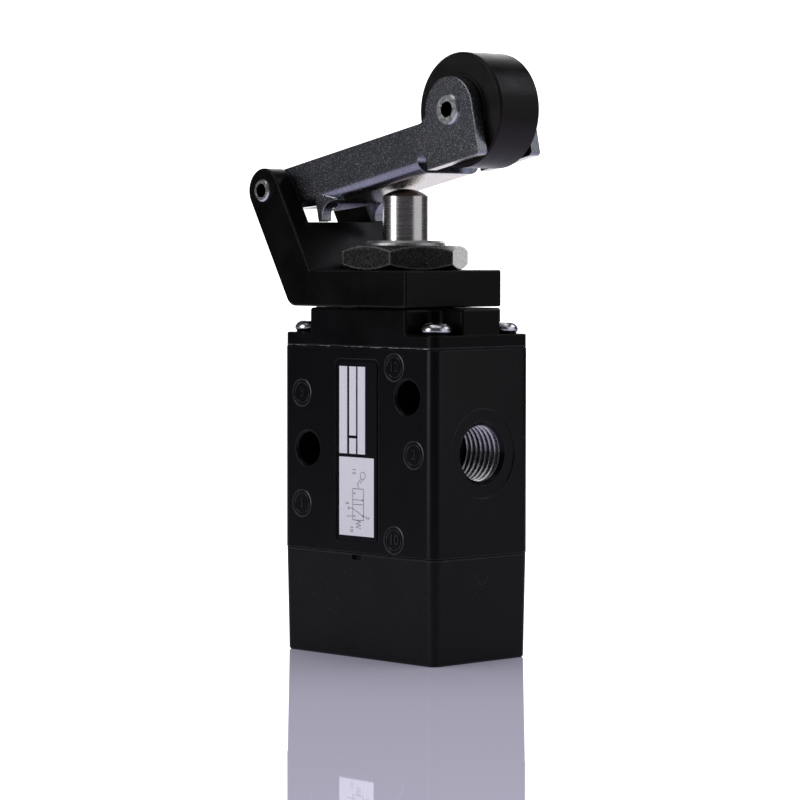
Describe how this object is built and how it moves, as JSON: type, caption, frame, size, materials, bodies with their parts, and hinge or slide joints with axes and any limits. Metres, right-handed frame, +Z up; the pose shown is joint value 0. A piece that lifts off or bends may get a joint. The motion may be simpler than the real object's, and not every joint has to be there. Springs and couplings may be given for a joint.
{
  "type": "lever valve",
  "caption": "Roller lever pneumatic spool valve: a pivoted channel lever with a roller presses a plunger above a black block body with threaded ports.",
  "frame": {"origin": "centre of the bottom cap's flat underside, on the plunger's axis", "axes": "+Z up along the plunger, +X towards the side of port 2 and the roller, +Y from the label face to the mounting face"},
  "size_m": [0.0674, 0.029, 0.1247],
  "materials": {
    "body_casting": "satin black coating on a die casting",
    "cap_moulding": "moulded black",
    "label": "printed black plate with pale panels",
    "rubber": "moulded black",
    "zinc_screw": "bright zinc plate",
    "cage_moulding": "moulded natural",
    "spring_wire": "drawn wire",
    "turned_steel": "fine turned",
    "bracket_casting": "satin black coating on a casting",
    "black_nut": "blackened, rubbed at the corners",
    "pin_steel": "darkened rivet steel",
    "spool_alloy": "fine turned",
    "zinc_sheet": "zinc plate with a dark blue passivation",
    "roller_moulding": "moulded black",
    "bush_bronze": "plain bearing bronze"
  },
  "bodies": {
    "housing": {"valve_body": "body_casting", "label_plate": "label", "bottom_cap": "cap_moulding", "bottom_gasket": "rubber", "top_gasket": "rubber", "top_cap": "cap_moulding", "upper_cap_screws": "zinc_screw", "lower_cap_screws": "zinc_screw", "spool_seals": "rubber", "port_cages": "cage_moulding", "stack_end_rings": "cage_moulding", "return_spring": "spring_wire", "plunger_guide": "turned_steel", "plunger_wiper": "rubber", "guide_seal": "rubber", "lever_bracket": "bracket_casting", "bracket_nut": "black_nut", "pivot_pin": "pin_steel"},
    "plunger": {"plunger": "turned_steel", "spool": "spool_alloy", "spring_seat": "cage_moulding"},
    "lever": {"roller_lever": "zinc_sheet", "roller_pin": "pin_steel", "pivot_spacer": "pin_steel"},
    "roller": {"roller": "roller_moulding", "roller_bush": "bush_bronze"}
  },
  "joints": [
    {"name": "lever_pivot", "type": "hinge", "parent": "housing", "child": "lever", "pos_m": [-0.0292, 0, 0.0971], "axis": [0, 1, 0], "range_deg": [0, 9.4], "stiffness_Nm_per_rad": 1.56, "springref_deg": -8.19},
    {"name": "plunger_slide", "type": "slide", "parent": "housing", "child": "plunger", "axis": [0, 0, -1], "range_m": [0, 0.0046], "deforming": ["return_spring"]},
    {"name": "roller_spin", "type": "hinge", "parent": "lever", "child": "roller", "pos_m": [0.02172, 0, 0.11299], "axis": [0, 1, 0], "continuous": true}
  ],
  "couplings": [
    {"joint": "plunger_slide", "follows": "lever_pivot", "m_per_rad": 0.02796}
  ]
}
